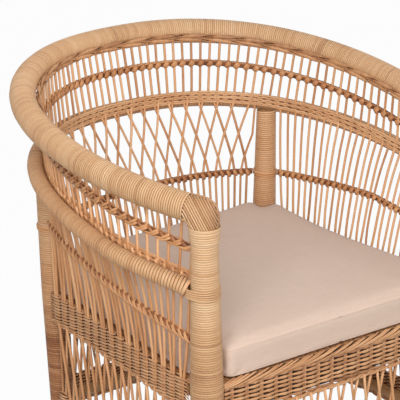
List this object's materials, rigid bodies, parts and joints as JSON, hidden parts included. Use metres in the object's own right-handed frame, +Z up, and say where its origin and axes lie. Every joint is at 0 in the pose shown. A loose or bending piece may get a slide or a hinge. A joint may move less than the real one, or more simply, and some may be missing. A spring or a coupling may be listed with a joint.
{
  "type": "cane tub armchair",
  "caption": "Low tub armchair of bound cane with a rounded rim that flows into the arms, open woven walls, a crossed-cane skirt and a loose seat cushion.",
  "frame": {"origin": "on the floor, at the middle of the chair's bounding box", "axes": "+Z up, -Y the way a sitter faces, +X to the right of someone looking at the chair from the front"},
  "size_m": [0.7454, 0.6989, 0.8065],
  "materials": {
    "binding": "satin split cane",
    "pole": "bare cane",
    "stake": "satin round cane",
    "weave": "satin woven cane",
    "cloth": "plain linen",
    "foam": "soft foam",
    "zip": "woven tape"
  },
  "bodies": {
    "frame": {"front_left_post": "pole", "front_left_post_binding": "binding", "front_right_post": "pole", "front_right_post_binding": "binding", "rear_left_post": "pole", "rear_left_post_binding": "binding", "rear_right_post": "pole", "rear_right_post_binding": "binding", "rim_pole": "pole", "rim_binding": "binding", "left_arm_cap": "binding", "right_arm_cap": "binding", "hoop_pole": "pole", "hoop_binding": "binding", "left_hoop_lashing": "binding", "right_hoop_lashing": "binding", "border_braid": "weave", "triple_band": "weave", "gallery": "stake", "left_panel": "stake", "right_panel": "stake", "back_panel": "stake", "front_seat_band": "weave", "front_seat_rail": "pole", "front_skirt": "stake", "front_lower_rail": "pole", "right_seat_band": "weave", "right_seat_rail": "pole", "right_skirt": "stake", "right_lower_rail": "pole", "back_seat_band": "weave", "back_seat_rail": "pole", "back_skirt": "stake", "back_lower_rail": "pole", "left_seat_band": "weave", "left_seat_rail": "pole", "left_skirt": "stake", "left_lower_rail": "pole", "seat_deck": "weave"},
    "cushion": {"cushion_cover": "cloth", "cushion_zip": "zip", "cushion_foam": "foam"}
  },
  "joints": [
    {"name": "cushion_lift", "type": "slide", "parent": "frame", "child": "cushion", "axis": [0, 0, 1], "range_m": [0, 0.2]}
  ]
}
